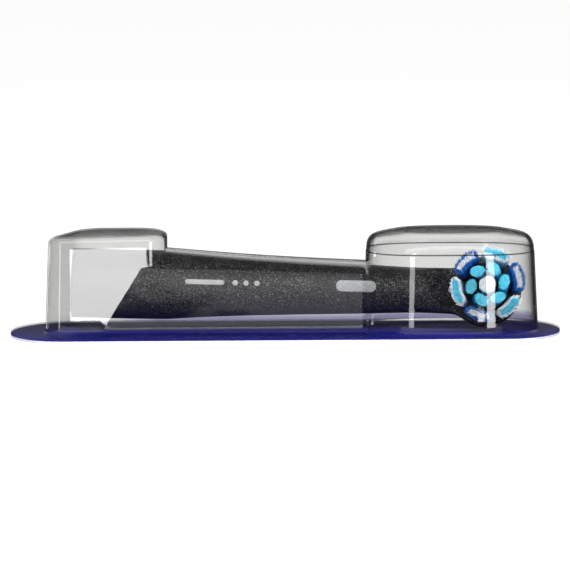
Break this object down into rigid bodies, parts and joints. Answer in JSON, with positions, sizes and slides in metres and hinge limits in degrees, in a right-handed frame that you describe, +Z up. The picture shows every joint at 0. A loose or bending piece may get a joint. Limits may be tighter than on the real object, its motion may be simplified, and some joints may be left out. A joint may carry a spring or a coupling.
{
  "type": "packaged toothbrush head",
  "caption": "Oscillating toothbrush replacement head with a black sleeve and round bristle disc, lying in a clear thermoformed blister on a round-ended card.",
  "frame": {"origin": "middle of the card's underside, where the pack rests", "axes": "+X along the card towards the bristle disc, +Z up out of the card, bristles pointing to -Y"},
  "size_m": [0.1016, 0.036, 0.0192],
  "materials": {
    "navy_card": "satin varnish",
    "clear_plastic": "clear gloss",
    "black_plastic": "satin, finely speckled",
    "grey_plastic": "satin",
    "dark_plastic": "satin",
    "steel": "ground",
    "spring_steel": "drawn wire",
    "white_bristle": "nylon filaments",
    "cyan_bristle": "nylon filaments",
    "blue_bristle": "nylon filaments"
  },
  "bodies": {
    "card": {"backing_card": "navy_card"},
    "brush_head": {"sleeve": "black_plastic", "id_insert": "grey_plastic", "connector_insert": "dark_plastic", "latch_clip_top": "spring_steel", "latch_clip_bottom": "spring_steel", "pivot_axle": "steel", "return_spring": "spring_steel"},
    "blister": {"blister_shell": "clear_plastic"},
    "carrier": {"brush_carrier": "black_plastic", "tuft_plate": "black_plastic", "crank_pin": "steel", "tuft_center": "white_bristle", "tuft_inner_1": "cyan_bristle", "tuft_inner_2": "cyan_bristle", "tuft_inner_3": "cyan_bristle", "tuft_inner_4": "cyan_bristle", "tuft_inner_5": "cyan_bristle", "tuft_inner_6": "cyan_bristle", "tuft_outer_blue_1": "blue_bristle", "tuft_outer_blue_2": "blue_bristle", "tuft_outer_blue_3": "blue_bristle", "tuft_outer_white_1": "white_bristle", "tuft_outer_white_2": "white_bristle", "tuft_outer_white_3": "white_bristle"},
    "drive_rod": {"motion_rod": "steel", "armature": "steel", "armature_cap": "dark_plastic"}
  },
  "joints": [
    {"name": "head_lift", "type": "slide", "parent": "card", "child": "brush_head", "axis": [0, 0, 1], "range_m": [0, 0.03]},
    {"name": "blister_lift", "type": "slide", "parent": "brush_head", "child": "blister", "axis": [0, 0, 1], "range_m": [0, 0.035]},
    {"name": "carrier_spin", "type": "hinge", "parent": "brush_head", "child": "carrier", "pos_m": [0.03737, 0.002, 0.00724], "axis": [0.0055, -0.9799, 0.1993], "range_deg": [-17, 17]},
    {"name": "rod_slide", "type": "slide", "parent": "brush_head", "child": "drive_rod", "axis": [0.9996, 0, -0.0277], "range_m": [-0.00065, 0.00065], "stiffness_N_per_m": 150, "deforming": ["return_spring"]}
  ],
  "couplings": [
    {"joint": "carrier_spin", "follows": "rod_slide", "rad_per_m": -454.55}
  ]
}
